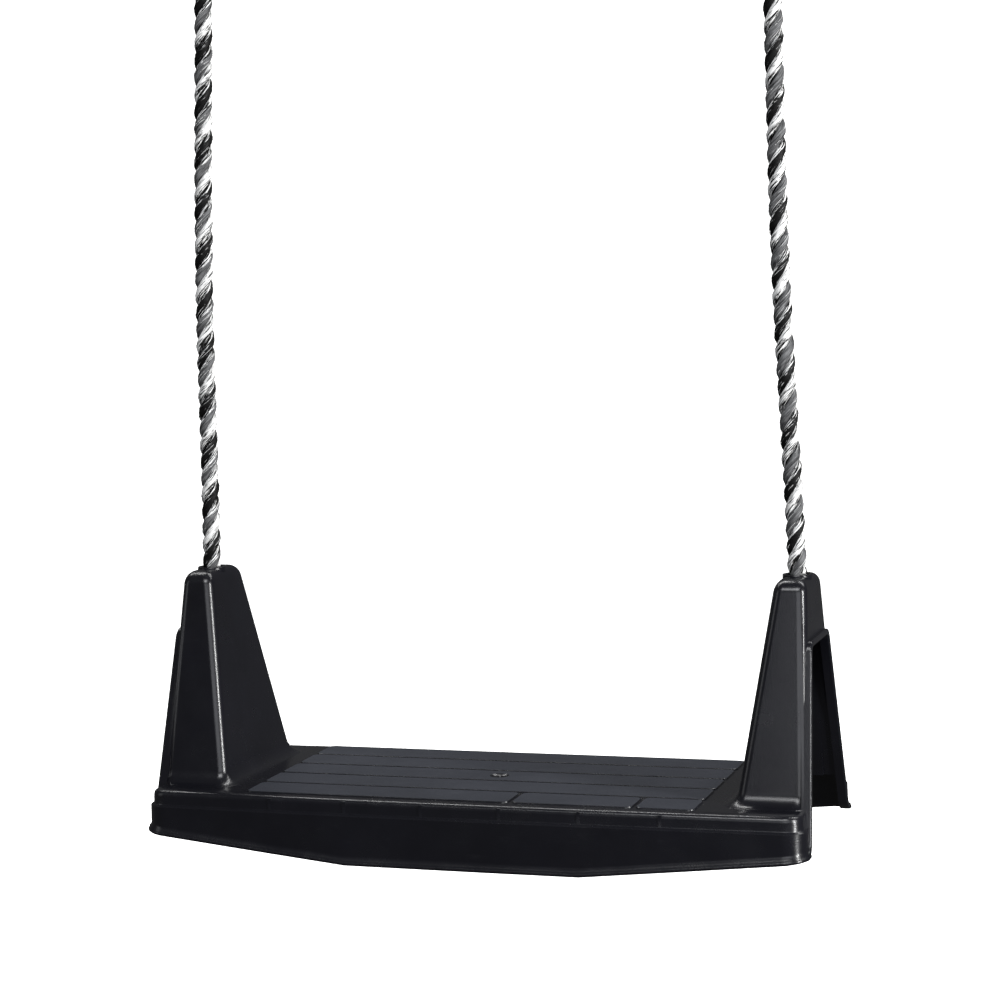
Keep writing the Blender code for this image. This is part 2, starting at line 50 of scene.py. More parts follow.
def joint(name):
    return next(j for j in frame["record"]["behaviour"]["joints"] if j["name"] == name)


# Places, all read from the frame
TOWER_TOP_Z = joint("seat_tilt")["pos_m"][2]
HOLE_X = -joint("seat_tilt")["pos_m"][0]
PIVOT_Z = joint("swing")["pos_m"][2]
HANGER_X = joint("right_sway")["pos_m"][0]
CONTACT_Z = joint("right_sway")["pos_m"][2]
GATE_Y = joint("right_gate_hinge")["pos_m"][1]
GATE_Z = joint("right_gate_hinge")["pos_m"][2]

# Seat, in its own frame: Z from the tops of the slats
TOWER_HEIGHT = 0.135
DECK_Z = TOWER_TOP_Z - TOWER_HEIGHT
HALF_LENGTH = 0.2175
HALF_DEPTH = 0.0845
BOW = 0.003
BREAK_SPACING = 0.0515
PLAN_CORNER = 0.014
SKIRT_END = 0.029
SKIRT_MIDDLE = 0.043
BEAD = 0.0022
STEP_Z = 0.0110
WALL = 0.003
DECK_THICKNESS = 0.0035
SLATS = 5
SLAT_PITCH = 0.0304
SLAT_GAP = 0.0018
SLAT_HALF_LENGTH = 0.1485
SLAT_RISE = 0.0008
PANEL_GAPS = (0.0300, 0.1100)
DRAIN_RADIUS = 0.0025
DISH_RADIUS = 0.0065
RIB_THICKNESS = 0.0025
RIB_DEPTH = 0.016
TOWER_FOOT = (0.1700, 0.2150, 0.0570)
TOWER_TOP = (0.1900, 0.2100, 0.0255)
TOWER_CORNER = 0.0060
TOWER_ROOF = 0.0040
ROPE_HOLE_RADIUS = 0.0073
FOOT_RADIUS = 0.0090
SHOULDER = (0.0050, 0.0085, 0.0075)
COLLAR_RADIUS = 0.0094
COLLAR_HEIGHT = 0.0010
OPENING_TOP = 0.094
OPENING_TOP_HALF = 0.0285
OPENING_TOP_RADIUS = 0.005
OPENING_FOOT_HALF = 0.0605
OPENING_FOOT_RADIUS = 0.012
OPENING_SLOPE = 16
OPENING_X = (0.2040, 0.2300)
LIP_X_TOP = 0.2141
LIP_X_FOOT = 0.2190
LIP_DEPTH = 0.0062
LIP_WIDTH = 0.0040
LIP_EASE = 0.0010
LIP_OVERHANG = 0.0012

# Ropes
ROPE_VISIBLE = 0.4047
ROPE_LEAN = radians(1.5)
ROPE_BOW = 0.0025
LAY = 0.0333
STRAND_RADIUS = 0.0029
STRAND_OFFSET = 0.0032
YARNS = 12
YARN_SIDES = 3
FIBRES = 1500
EYE_RADIUS = 0.0245
THIMBLE_OUTER = 0.0082
THIMBLE_GROOVE = 0.0064
EYE_TO_FERRULE = 0.0500
EYE_LEG = 0.0063
THIMBLE_SLACK = 0.0006
GAP = 0.0003
FERRULE_HEIGHT = 0.032
FERRULE_HALF = (0.0140, 0.0078)
EYE_CENTRE = THIMBLE_OUTER - EYE_RADIUS + THIMBLE_SLACK
FERRULE_TOP = EYE_CENTRE - EYE_TO_FERRULE
FERRULE_BOTTOM = FERRULE_TOP - FERRULE_HEIGHT
ROPE_END = FERRULE_BOTTOM - GAP - ROPE_VISIBLE


# Materials


class Nodes:
    """A short way to add and link shader nodes in one material."""

    def __init__(self, name):
        self.material = bpy.data.materials.new(name)
        self.material.use_nodes = True
        self.tree = self.material.node_tree
        self.shader = self.tree.nodes["Principled BSDF"]

    def add(self, kind, links=(), **values):
        node = self.tree.nodes.new(kind)
        for key, value in values.items():
            if hasattr(node, key):
                setattr(node, key, value)
            else:
                node.inputs[key.replace("_", " ")].default_value = value
        for socket, source in dict(links).items():
            self.link(source, node.inputs[socket])
        return node

    def link(self, source, target):
        self.tree.links.new(source if isinstance(source, bpy.types.NodeSocket) else source.outputs[0], target)

    def ramp(self, source, stops):
        node = self.add("ShaderNodeValToRGB", {"Fac": source})
        while len(node.color_ramp.elements) < len(stops):
            node.color_ramp.elements.new(0.5)
        for element, (place, colour) in zip(node.color_ramp.elements, stops):
            element.position = place
            element.color = (*colour, 1.0) if len(colour) == 3 else colour
        return node

    def set(self, **values):
        for key, value in values.items():
            self.shader.inputs[key.replace("_", " ")].default_value = value


def grey(value):
    return (value, value, value)


def position(nodes):
    return nodes.add("ShaderNodeTexCoord").outputs["Object"]


def noise_at(nodes, scale, detail=4.0, roughness=0.55, stretch=None):
    vector = position(nodes)
    if stretch:
        mapping = nodes.add("ShaderNodeMapping", {"Vector": vector})
        mapping.inputs["Scale"].default_value = stretch
        vector = mapping.outputs[0]
    node = nodes.add("ShaderNodeTexNoise", {"Vector": vector}, Scale=scale, Detail=detail, Roughness=roughness)
    return node.outputs["Fac"]


def bump(nodes, height, strength, distance, normal=None):
    node = nodes.add("ShaderNodeBump", {"Height": height}, Strength=strength, Distance=distance)
    if normal is not None:
        nodes.link(normal, node.inputs["Normal"])
    return node.outputs["Normal"]


def plastic_material(name, base, lift, rough, gloss, grain_scale, grain_depth, scuff):
    """Moulded black plastic: faint mottling, fine mould grain and light scuffs."""
    nodes = Nodes(name)
    mottle = noise_at(nodes, 18.0, 5.0, 0.6)
    colour = nodes.ramp(mottle, [(0.30, base), (0.75, lift)])
    scratches = noise_at(nodes, 60.0, 6.0, 0.65, (1.0, 5.0, 3.0))
    marks = nodes.ramp(scratches, [(0.60, grey(0.0)), (0.78, grey(scuff))])
    mixed = nodes.add("ShaderNodeMixRGB", {"Fac": marks, "Color1": colour}, blend_type="MIX")
    mixed.inputs["Color2"].default_value = (0.10, 0.103, 0.112, 1.0)
    nodes.link(mixed, nodes.shader.inputs["Base Color"])
    wear = noise_at(nodes, 40.0, 5.0, 0.6)
    roughness = nodes.ramp(wear, [(0.25, grey(rough - 0.05)), (0.80, grey(rough + 0.08))])
    nodes.link(roughness, nodes.shader.inputs["Roughness"])
    grain = noise_at(nodes, grain_scale, 3.0, 0.5)
    waves = noise_at(nodes, 26.0, 2.0, 0.5)
    first = bump(nodes, waves, 0.10, 0.0005)
    nodes.link(bump(nodes, grain, 0.9, grain_depth, first), nodes.shader.inputs["Normal"])
    nodes.set(Specular_IOR_Level=gloss, IOR=1.49)
    return nodes.material


def metal_material(name, dark, light, rough, scale, depth):
    """Plated steel: cloudy tone and fine surface texture."""
    nodes = Nodes(name)
    cloud = noise_at(nodes, scale, 6.0, 0.62)
    nodes.link(nodes.ramp(cloud, [(0.25, dark), (0.75, light)]), nodes.shader.inputs["Base Color"])
    streaks = noise_at(nodes, scale * 4, 4.0, 0.6, (1.0, 1.0, 6.0))
    ramp = nodes.ramp(streaks, [(0.2, grey(rough - 0.07)), (0.8, grey(rough + 0.12))])
    nodes.link(ramp, nodes.shader.inputs["Roughness"])
    fine = noise_at(nodes, 900.0, 3.0, 0.5)
    nodes.link(bump(nodes, fine, 0.5, depth), nodes.shader.inputs["Normal"])
    nodes.set(Metallic=1.0)
    return nodes.material


def yarn_material(name, dark, light, first, last):
    """Split-film fibre: long streaks along the strand, from dark to light between two noise levels."""
    nodes = Nodes(name)
    uv = nodes.add("ShaderNodeTexCoord").outputs["UV"]
    mapping = nodes.add("ShaderNodeMapping", {"Vector": uv})
    mapping.inputs["Scale"].default_value = (17.0, 120.0, 1.0)
    fibres = nodes.add("ShaderNodeTexNoise", {"Vector": mapping}, Scale=1.0, Detail=3.0, Roughness=0.60)
    nodes.link(nodes.ramp(fibres, [(first, dark), (last, light)]), nodes.shader.inputs["Base Color"])
    nodes.link(bump(nodes, fibres.outputs["Fac"], 1.0, 0.0009), nodes.shader.inputs["Normal"])
    rough = nodes.ramp(fibres.outputs["Fac"], [(0.2, grey(0.60)), (0.8, grey(0.40))])
    nodes.link(rough, nodes.shader.inputs["Roughness"])
    nodes.set(Specular_IOR_Level=0.2)
    return nodes.material


def nylon_material():
    nodes = Nodes("nylon_cream")
    cloud = noise_at(nodes, 120.0)
    colour = nodes.ramp(cloud, [(0.3, (0.70, 0.68, 0.61)), (0.8, (0.80, 0.79, 0.74))])
    nodes.link(colour, nodes.shader.inputs["Base Color"])
    nodes.link(bump(nodes, cloud, 0.4, 0.0002), nodes.shader.inputs["Normal"])
    nodes.set(Roughness=0.42, Subsurface_Weight=0.05)
    return nodes.material


MATERIALS = {
    "seat": plastic_material("seat_satin", (0.0036, 0.0037, 0.0056), (0.0056, 0.0057, 0.0086), 0.24, 0.50, 1500.0, 0.00005, 0.03),
    "slat": plastic_material("slat_grain", (0.0240, 0.0262, 0.0330), (0.0350, 0.0378, 0.0470), 0.58, 0.12, 1100.0, 0.00045, 0.22),
    "zinc": metal_material("zinc_plate", (0.46, 0.47, 0.49), (0.66, 0.67, 0.69), 0.34, 55.0, 0.00010),
    "steel": metal_material("bright_steel", (0.55, 0.55, 0.56), (0.72, 0.72, 0.73), 0.26, 80.0, 0.00006),
    "alloy": metal_material("pressed_alloy", (0.60, 0.61, 0.63), (0.78, 0.79, 0.80), 0.30, 70.0, 0.00008),
    "nylon": nylon_material(),
    "white": yarn_material("yarn_white", grey(0.02), (0.80, 0.80, 0.79), 0.41, 0.47),
    "mixed": yarn_material("yarn_mixed", grey(0.004), (0.85, 0.85, 0.84), 0.49, 0.54),
    "black": yarn_material("yarn_black", grey(0.003), grey(0.60), 0.62, 0.67),
    "grey": yarn_material("yarn_grey", grey(0.010), (0.18, 0.182, 0.186), 0.34, 0.62),
}


# Mesh tools


def finish_mesh(name, bm, materials, origin=(0, 0, 0), angle=32.0, weighted=True):
    bmesh.ops.recalc_face_normals(bm, faces=bm.faces)
    mesh = bpy.data.meshes.new(name)
    bm.to_mesh(mesh)
    bm.free()
    mesh.transform(Matrix.Translation(Vector(origin)))
    for material in materials:
        mesh.materials.append(material)
    obj = bpy.data.objects.new(name, mesh)
    bpy.context.scene.collection.objects.link(obj)
    smooth(obj, angle, weighted)
    return obj


def smooth(obj, angle=32.0, weighted=True):
    obj.data.shade_smooth()
    obj.data.set_sharp_from_angle(angle=radians(angle))
    if weighted:
        modifier = obj.modifiers.new("weighted", "WEIGHTED_NORMAL")
        modifier.keep_sharp = True
        modifier.weight = 60


def apply_modifiers(obj):
    graph = bpy.context.evaluated_depsgraph_get()
    mesh = bpy.data.meshes.new_from_object(obj.evaluated_get(graph))
    obj.modifiers.clear()
    obj.data = mesh


def combine(target, steps):
    """Applies each (operation, mesh) pair to target, in order."""
    for operation, other in steps:
        modifier = target.modifiers.new(operation, "BOOLEAN")
        modifier.operation = operation
        modifier.object = other
        modifier.solver = "EXACT"
        bpy.context.view_layer.update()
        apply_modifiers(target)
        bpy.data.objects.remove(other)
    return target


def loft(rings, closed=False, material_of=None):
    """Skins rings of equal point counts. Open lofts get a flat face on each end."""
    bm = bmesh.new()
    loops = [[bm.verts.new(point) for point in ring] for ring in rings]
    count = len(rings[0])
    pairs = list(zip(loops, loops[1:]))
    if closed:
        pairs.append((loops[-1], loops[0]))
    for low, high in pairs:
        for i in range(count):
            j = (i + 1) % count
            face = bm.faces.new((low[i], low[j], high[j], high[i]))
            if material_of:
                face.material_index = material_of(i)
    if not closed:
        bm.faces.new(loops[0])
        bm.faces.new(loops[-1])
    return bm


def along_x(a, b, level):
    return (level, a, b)


def along_z(a, b, level):
    return (a, b, level)


def prism(outline, low, high, place):
    return loft([[place(a, b, level) for a, b in outline] for level in (low, high)])


def arc(centre, radius, start, end, steps):
    """Points on a circle, angles in degrees."""
    angles = [radians(start + (end - start) * i / steps) for i in range(steps + 1)]
    return [(centre[0] + radius * cos(a), centre[1] + radius * sin(a)) for a in angles]


def circle(centre, radius, steps):
    return arc(centre, radius, 0, 360, steps)[:-1]


def rounded_rectangle(x_low, x_high, half_y, radius, steps=8, centre_y=0.0):
    corners = [(x_high, 1, 0), (x_low, 1, 90), (x_low, -1, 180), (x_high, -1, 270)]
    points = []
    for x, side, start in corners:
        centre_x = x - radius if x == x_high else x + radius
        middle = (centre_x, centre_y + side * (half_y - radius))
        points += arc(middle, radius, start, start + 90, steps)
    return points


def mirrored(bm, side):
    if side < 0:
        bmesh.ops.scale(bm, vec=(-1, 1, 1), verts=bm.verts)
        bmesh.ops.reverse_faces(bm, faces=bm.faces)
    return bm


# Seat shell


def break_positions():
    folds = [BREAK_SPACING * (i + 0.5) for i in range(3)] + [HALF_LENGTH - PLAN_CORNER]
    return [-x for x in reversed(folds)] + folds


def side_y(x):
    return HALF_DEPTH + BOW * (0.5 - (x / (HALF_LENGTH - PLAN_CORNER)) ** 2)


def plan_outline(offset):
    folds = break_positions()
    side = [(x, side_y(x) + offset) for x in folds]
    radius = PLAN_CORNER + offset
    centre_y = side[-1][1] - radius
    corner = arc((folds[-1], centre_y), radius, 82, 0, 12)
    half = side + corner
    half += [(x, -y) for x, y in reversed(half)]
    left = [(-x, y) for x, y in corner]
    return half + [(x, -y) for x, y in left] + list(reversed(left))


def skirt_bottom(x):
    flat = BREAK_SPACING * 1.5
    share = min(max((abs(x) - flat) / (HALF_LENGTH - flat), 0), 1)
    return -SKIRT_MIDDLE + (SKIRT_MIDDLE - SKIRT_END) * share


def deck_body():
    """Down the outside, round the bottom bead and up the inside to the deck's underside."""
    border = [(-SLAT_RISE, -0.0100), (-0.0010, -0.0076), (-0.0014, -0.0052), (-0.0019, -0.0040)]
    border += [(-0.0027, -0.0031), (-0.0038, -0.0026), (-0.0050, -0.0024)]
    step = [(-STEP_Z + 0.0014, -0.0022), (-STEP_Z + 0.0007, -0.0019), (-STEP_Z + 0.0002, -0.0011)]
    step += [(-STEP_Z - 0.0006, -0.0002)]
    rings = [[(x, y, z) for x, y in plan_outline(offset)] for z, offset in border + step]
    bead = [(0.0062, 0.0), (0.0046, 0.0003), (0.0036, 0.0011)]
    bead += [(0.0014 + 0.0014 * cos(a), BEAD - 0.0014 + 0.0014 * sin(a)) for a in np.linspace(0.5, pi * 0.95, 8)]
    for lift, offset in bead + [(0.0002, -WALL + 0.0006), (0.0008, -WALL)]:
        rings.append([(x, y, skirt_bottom(x) + lift) for x, y in plan_outline(offset)])
    for z, offset in ((-STEP_Z - 0.003, -WALL), (-DECK_THICKNESS - 0.002, -WALL - 0.0020), (-DECK_THICKNESS, -WALL - 0.0040)):
        rings.append([(x, y, z) for x, y in plan_outline(offset)])
    return loft(rings)


def tower_ring(z, grow=0.0, narrow=(0.0, 0.0), inset=0.0):
    """A level section of the right tower: see the part's own for how grow, narrow and inset work."""
    share = min(max(z / TOWER_HEIGHT, 0), 1)
    inner, outer, half = (a + (b - a) * share for a, b in zip(TOWER_FOOT, TOWER_TOP))
    radius = TOWER_CORNER + grow - inset - 0.4 * max(narrow)
    x_low = inner - grow + inset + narrow[0]
    x_high = outer - inset - narrow[0]
    outline = rounded_rectangle(x_low, x_high, half + grow - inset - narrow[1], radius)
    return [(x, y, z) for x, y in outline]


def tower_body():
    """A tapered tower with a swept foot and rounded shoulders."""
    rings = [tower_ring(-0.0022, FOOT_RADIUS * 1.05)]
    for angle in np.linspace(radians(9), pi / 2, 10):
        rings.append(tower_ring(-SLAT_RISE + FOOT_RADIUS * (1 - cos(angle)), FOOT_RADIUS * (1 - sin(angle))))
    wide, deep, tall = SHOULDER
    for angle in np.linspace(0, pi / 2, 12):
        pull = 1 - cos(angle)
        rings.append(tower_ring(TOWER_HEIGHT - tall * (1 - sin(angle)), narrow=(wide * pull, deep * pull)))
    return loft(rings)


def tower_hollow():
    return loft([tower_ring(z, inset=WALL) for z in (-0.0150, 0.0, TOWER_HEIGHT - TOWER_ROOF)])


def opening_side(grow):
    """Half of the opening's edge as (y, z), from the skirt's bottom round its corner and up to the top."""
    foot_centre = (OPENING_FOOT_HALF + OPENING_FOOT_RADIUS, -SKIRT_END + OPENING_FOOT_RADIUS)
    top_centre = (OPENING_TOP_HALF - OPENING_TOP_RADIUS, OPENING_TOP - OPENING_TOP_RADIUS)
    foot = arc(foot_centre, OPENING_FOOT_RADIUS - grow, 270, 180 + OPENING_SLOPE, 14)
    return foot + arc(top_centre, OPENING_TOP_RADIUS + grow, OPENING_SLOPE, 90, 10)


def arch(grow):
    side = opening_side(grow)
    return side + [(-y, z) for y, z in reversed(side)]


def opening_body():
    line = arch(LIP_OVERHANG)
    below = -SKIRT_MIDDLE - 0.010
    outline = [(line[0][0], below)] + line + [(line[-1][0], below)]
    return prism(outline, *OPENING_X, along_x)


def lip_x(z):
    """The outer face of the bead round the opening, which leans in with the tower."""
    share = min(max((z + SKIRT_END) / (OPENING_TOP + SKIRT_END), 0), 1)
    return LIP_X_FOOT + (LIP_X_TOP - LIP_X_FOOT) * share


def lip_body():
    """The bead round the opening, with rounded edges."""
    ease = LIP_EASE
    section = [(0.0, LIP_DEPTH)] + arc((ease, ease), ease, 180, 270, 4)
    section += arc((LIP_WIDTH - ease, ease), ease, 270, 360, 4) + [(LIP_WIDTH, LIP_DEPTH)]
    bm = bmesh.new()
    loops = []
    for grow, depth in section:
        loops.append([bm.verts.new((lip_x(z) - depth, y, z)) for y, z in arch(grow)])
    for near, far in zip(loops, loops[1:] + loops[:1]):
        for i in range(len(near) - 1):
            bm.faces.new((near[i], near[i + 1], far[i + 1], far[i]))
    for end in (0, -1):
        bm.faces.new([line[end] for line in loops])
    return bm


def collar_body(side):
    """The low ring round the rope's hole."""
    top = TOWER_HEIGHT + COLLAR_HEIGHT
    profile = [(COLLAR_RADIUS, TOWER_HEIGHT - 0.002), (COLLAR_RADIUS, top - 0.0004)]
    profile += [(COLLAR_RADIUS - 0.0002, top - 0.0001), (COLLAR_RADIUS - 0.0005, top)]
    return turned_z(profile, 48, (side * HOLE_X, 0))


def slat_panels():
    """(low x, high x, middle y) of each raised panel. The front slat is split in three."""
    panels = []
    for row in range(SLATS):
        y = (row - (SLATS - 1) / 2) * SLAT_PITCH
        cuts = [-SLAT_HALF_LENGTH, SLAT_HALF_LENGTH]
        if row == 0:
            cuts[1:1] = PANEL_GAPS
        for low, high in zip(cuts, cuts[1:]):
            near = low + (SLAT_GAP / 2 if low != cuts[0] else 0)
            panels.append((near, high - (SLAT_GAP / 2 if high != cuts[-1] else 0), y))
    return panels


def slat_body(low, high, y):
    half = (SLAT_PITCH - SLAT_GAP) / 2
    rings = []
    for z, inset in ((-0.0022, -0.0002), (-SLAT_RISE, 0.0), (-0.00025, 0.0002), (0.0, 0.0006)):
        outline = rounded_rectangle(low + inset, high - inset, half - inset, 0.0042 - inset, 6, y)
        rings.append([(a, b, z) for a, b in outline])
    return loft(rings)


def rib_body(x):
    half = side_y(x) - WALL + 0.001
    wide, narrow = RIB_THICKNESS / 2, RIB_THICKNESS / 2 - 0.0005
    rings = []
    for z, thick in ((-DECK_THICKNESS + 0.001, wide), (-RIB_DEPTH - DECK_THICKNESS, narrow)):
        rings.append([(x - thick, -half, z), (x + thick, -half, z), (x + thick, half, z), (x - thick, half, z)])
    return loft(rings)


def turned_z(profile, steps, centre):
    """A solid of revolution about Z, from (radius, z) points."""
    return loft([[(centre[0] + r * cos(2 * pi * i / steps), centre[1] + r * sin(2 * pi * i / steps), z)
                  for i in range(steps)] for r, z in profile])


def build_seat():
    origin = (0, 0, DECK_Z)

    def part(name, bm):
        return finish_mesh(name, bm, [MATERIALS["seat"]], origin, weighted=False)

    shell = part("seat_body", deck_body())
    steps = []
    for side in SIDES.values():
        steps.append(("UNION", part("tower", mirrored(tower_body(), side))))
        steps.append(("UNION", part("collar", collar_body(side))))
    for side in SIDES.values():
        steps.append(("DIFFERENCE", part("hollow", mirrored(tower_hollow(), side))))
        steps.append(("DIFFERENCE", part("opening", mirrored(opening_body(), side))))
        steps.append(("UNION", part("lip", mirrored(lip_body(), side))))
        top = TOWER_HEIGHT + COLLAR_HEIGHT
        hole = [(ROPE_HOLE_RADIUS, 0.1200), (ROPE_HOLE_RADIUS, top - 0.0007)]
        hole += [(ROPE_HOLE_RADIUS + 0.0003, top - 0.0002), (ROPE_HOLE_RADIUS + 0.0012, top + 0.001)]
        steps.append(("DIFFERENCE", part("hole", turned_z(hole, 48, (side * HOLE_X, 0)))))
    for x in break_positions()[1:-1]:
        steps.append(("UNION", part("rib", rib_body(x))))
    combine(shell, steps)
    for low, high, y in slat_panels():
        combine(shell, [("UNION", part("slat", slat_body(low, high, y)))])
    dish = [(DRAIN_RADIUS * 1.6, -0.0012), (DISH_RADIUS * 0.8, -0.0009), (DISH_RADIUS, 0.0001), (DISH_RADIUS, 0.003)]
    drain = [(DRAIN_RADIUS, -0.020), (DRAIN_RADIUS, -0.0016), (DRAIN_RADIUS + 0.0006, -0.0008)]
    combine(shell, [("DIFFERENCE", part("dish", turned_z(dish, 40, (0, 0))))])
    combine(shell, [("DIFFERENCE", part("drain", turned_z(drain, 32, (0, 0))))])
    shell.data.materials.clear()
    shell.data.materials.append(MATERIALS["seat"])
    shell.data.materials.append(MATERIALS["slat"])
    low = DECK_Z - 0.00005
    for face in shell.data.polygons:
        x, y, z = face.center
        inside = abs(x) < SLAT_HALF_LENGTH and abs(y) < SLATS * SLAT_PITCH / 2
        face.material_index = 1 if inside and z > low and face.normal.z > 0.9 else 0
    smooth(shell, 30.0)
    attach(shell, "seat")
    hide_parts("seat_shell")


# Ropes


def rope_frame(side):
    """From the rope's own frame, hanging from the hook's bowl, to the row frame."""
    lean = Matrix.Rotation(-side * ROPE_LEAN, 4, "Y")
    return Matrix.Translation((side * HANGER_X, 0, CONTACT_Z)) @ lean


def rope_route():
    """The tower top up to the ferrule, with the slack rope's gentle bow, as in the CAD."""
    count = 15
    top = FERRULE_BOTTOM - 0.0003
    shares = [i / (count - 1) for i in range(count)]
    return [Vector((-ROPE_BOW * sin(pi * s) ** 2, 0, top + (ROPE_END - top) * s)) for s in reversed(shares)]


def eye_route():
    """Up one leg, round the thimble and down the other."""
    foot = (-EYE_LEG, FERRULE_TOP + 0.0003)
    start = Vector(foot) + Vector((0, 0.003))
    touch_angle = 205
    turn = arc((0, EYE_CENTRE), EYE_RADIUS, touch_angle, 180 - touch_angle, 14)
    touch = Vector(turn[0])
    heading = Vector((-sin(radians(touch_angle)), cos(radians(touch_angle)))) * -1
    leg = [foot]
    for i in range(5):
        s = i / 5
        a = (2 * s**3 - 3 * s**2 + 1) * start + (s**3 - 2 * s**2 + s) * Vector((0, 0.045))
        b = (-2 * s**3 + 3 * s**2) * touch + (s**3 - s**2) * (heading * 0.045)
        leg.append(tuple(a + b))
    half = leg + turn[: len(turn) // 2 + 1]
    return [Vector((x, 0, z)) for x, z in half + [(-x, z) for x, z in reversed(half[:-1])]]


def whole_route():
    """One line: up through the ferrule, round the eye and back into the ferrule."""
    eye = eye_route()
    middle = FERRULE_BOTTOM + FERRULE_HEIGHT * 0.45
    joinery = [Vector((-EYE_LEG * 0.45, 0, middle))]
    return rope_route() + joinery + eye + [Vector((EYE_LEG, 0, FERRULE_TOP - 0.012))]


def resampled(points, spacing):
    """Even points on a smooth curve through the given ones."""
    fine = []
    for i in range(len(points) - 1):
        p0, p1 = points[max(i - 1, 0)], points[i]
        p2, p3 = points[i + 1], points[min(i + 2, len(points) - 1)]
        for k in range(16):
            t = k / 16
            fine.append(0.5 * (2 * p1 + (p2 - p0) * t + (2 * p0 - 5 * p1 + 4 * p2 - p3) * t**2
                               + (3 * p1 - p0 - 3 * p2 + p3) * t**3))
    fine.append(points[-1])
    line = np.array([tuple(p) for p in fine])
    travelled = np.concatenate([[0], np.cumsum(np.linalg.norm(np.diff(line, axis=0), axis=1))])
    count = int(travelled[-1] / spacing)
    at = np.linspace(0, travelled[-1], count + 1)
    even = np.stack([np.interp(at, travelled, line[:, i]) for i in range(3)], axis=1)
    return even, at


# The twelve yarns of each strand, from its middle down over its lower edge and up the back to its upper edge
ROPE_COLOURS = ["white", "mixed", "black", "grey"]
STRAND_YARNS = {
    "white": "white mixed mixed black black black black white white white white white".split(),
    "black": "black black black black black black black black black mixed black black".split(),
    "grey": "grey grey grey grey grey grey grey grey grey grey grey grey".split(),
}
# Down the rope, and the strand that shows mixed yarns along its upper edge
LAY_ORDER = {"left": ["white", "black", "grey"], "right": ["white", "grey", "black"]}
FIBRE_TONES = {"white": (0.72, "white", "black"), "mixed": (0.5, "white", "black"),
               "black": (0.16, "white", "black"), "grey": (0.35, "white", "grey")}


def strand_yarns(colour, below_white):
    yarns = list(STRAND_YARNS[colour])
    if below_white:
        yarns[8:11] = ["mixed"] * 3
    return yarns


class Strand:
    """A strand's centre line, and the directions outward from the rope and across the strand."""

    def __init__(self, line, turn, wide, deep):
        tangents = np.gradient(line, axis=0)
        tangents /= np.linalg.norm(tangents, axis=1)[:, None]
        side = np.tile([0.0, 1.0, 0.0], (len(line), 1))
        across = np.cross(side, tangents)
        self.centres = line + (wide * np.cos(turn))[:, None] * across + (deep * np.sin(turn))[:, None] * side
        ahead = np.gradient(self.centres, axis=0)
        ahead /= np.linalg.norm(ahead, axis=1)[:, None]
        outward = self.centres - line
        outward -= (outward * ahead).sum(axis=1)[:, None] * ahead
        outward /= np.linalg.norm(outward, axis=1)[:, None]
        self.outward = outward
        self.sideways = np.cross(ahead, outward)

    def at(self, station, angle, radius):
        """A point on the strand, at a whole or part station."""
        low = min(int(station), len(self.centres) - 2)
        part = station - low
        centre = self.centres[low] * (1 - part) + self.centres[low + 1] * part
        outward = self.outward[low] * (1 - part) + self.outward[low + 1] * part
        sideways = self.sideways[low] * (1 - part) + self.sideways[low + 1] * part
        return centre + radius * (cos(angle) * outward + sin(angle) * sideways)


def skin_strand(bm, uv, strand, along, radii, yarns, seed):
    """The strand's surface: a ridge for each yarn, with small lumps, and one material for each yarn."""
    count = YARNS * YARN_SIDES
    loops = []
    for i, (travel, radius) in enumerate(zip(along, radii)):
        drift = 0.30 * noise.noise((travel * 22, seed, 0.0))
        ring = []
        for k in range(count):
            phase = 2 * pi * k / count
            ridge = abs(sin(YARNS * phase / 2)) ** 0.7
            lump = 0.00030 * noise.noise((travel * 190, k * 1.1 / YARN_SIDES, seed))
            ring.append(bm.verts.new(strand.at(i, phase + drift, radius * (0.88 + 0.12 * ridge) + lump)))
        loops.append(ring)
    for i, (low, high) in enumerate(zip(loops, loops[1:])):
        for k in range(count):
            j = (k + 1) % count
            face = bm.faces.new((low[k], low[j], high[j], high[k]))
            face.smooth = True
            face.material_index = ROPE_COLOURS.index(yarns[k // YARN_SIDES])
            for loop, a, b in zip(face.loops, (k, k + 1, k + 1, k), (i, i, i + 1, i + 1)):
                loop[uv].uv = (a / count + seed, along[b])
    bm.faces.new(loops[0][::-1])
    bm.faces.new(loops[-1])


def add_fibre(bm, uv, strand, along, radius, yarns, draw):
    """One fibre lying on the strand, or standing off it at one end."""
    spacing = along[1] - along[0]
    reach = (0.005 + 0.008 * draw.random()) / spacing
    first = draw.random() * (len(along) - 2 - reach)
    angle = radians(-125 + 250 * draw.random())
    slope = radians(-24 + 48 * draw.random())
    stray = 0.0011 * draw.random() if draw.random() < 0.22 else 0.0
    lift = 0.00012 + 0.00022 * draw.random()
    thick = 0.00011 + 0.00009 * draw.random()
    share, light, dark = FIBRE_TONES[yarns[int(angle / (2 * pi) * YARNS) % YARNS]]
    colour = ROPE_COLOURS.index(light if draw.random() < share else dark)
    loops = []
    for step in range(6):
        t = step / 5
        station = first + reach * t
        height = radius + lift * sin(pi * t) - 0.00015 + stray * max(t - 0.35, 0) ** 2 / 0.42
        turn = angle + slope * t
        half = thick * (1.0 - 0.6 * abs(2 * t - 1) ** 3)
        corners = ((half * 1.2, 0.0), (-half * 0.6, half), (-half * 0.6, -half))
        loops.append([bm.verts.new(strand.at(station, turn + b / radius, height + a)) for a, b in corners])
    for i, (low, high) in enumerate(zip(loops, loops[1:])):
        for k in range(3):
            j = (k + 1) % 3
            face = bm.faces.new((low[k], low[j], high[j], high[k]))
            face.smooth = True
            face.material_index = colour
            for loop in face.loops:
                loop[uv].uv = (angle, along[int(first)] + 0.001 * i)
    bm.faces.new(loops[0][::-1])
    bm.faces.new(loops[-1])


